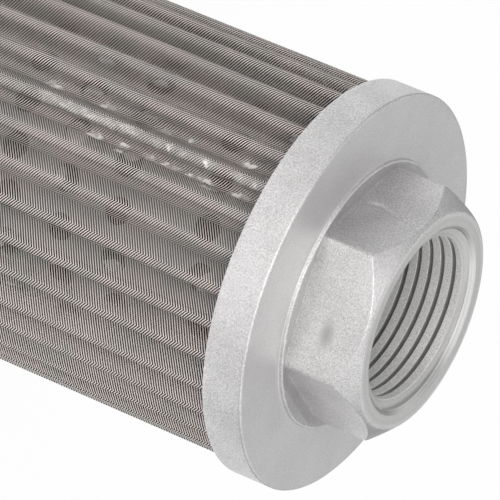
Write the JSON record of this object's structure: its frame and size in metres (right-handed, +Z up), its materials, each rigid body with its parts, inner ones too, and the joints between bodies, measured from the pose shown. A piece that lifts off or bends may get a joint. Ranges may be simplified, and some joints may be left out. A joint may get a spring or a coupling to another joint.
{
  "type": "hydraulic suction strainer",
  "caption": "Tank suction strainer: a pleated wire-mesh element on a perforated tube between a closed cap and a cast hexagon cap with a threaded port.",
  "frame": {"origin": "centre of the closed end's flat face, on which the strainer stands", "axes": "+Z up the axis, from the closed end out of the threaded port; the port's hexagon and the cloth's side seam are turned to match the picture seen along +Y"},
  "size_m": [0.0734, 0.0734, 0.14],
  "materials": {
    "cast_aluminium": "die-cast and blasted to a fine matt grain, satin on the flange face, turned at the port's mouth",
    "galvanised_sheet": "thin zinc-coated strip, perforated and wound to a tube",
    "woven_wire_cloth": "plain-woven fine stainless wire, pleated",
    "bonding_resin": "cured clear resin, pale and glossy"
  },
  "bodies": {
    "root": {"threaded_end_cap": "cast_aluminium", "closed_end_cap": "cast_aluminium", "core_tube": "galvanised_sheet", "pleated_mesh": "woven_wire_cloth", "seam_resin": "bonding_resin", "upper_potting": "bonding_resin", "lower_potting": "bonding_resin"}
  },
  "joints": []
}
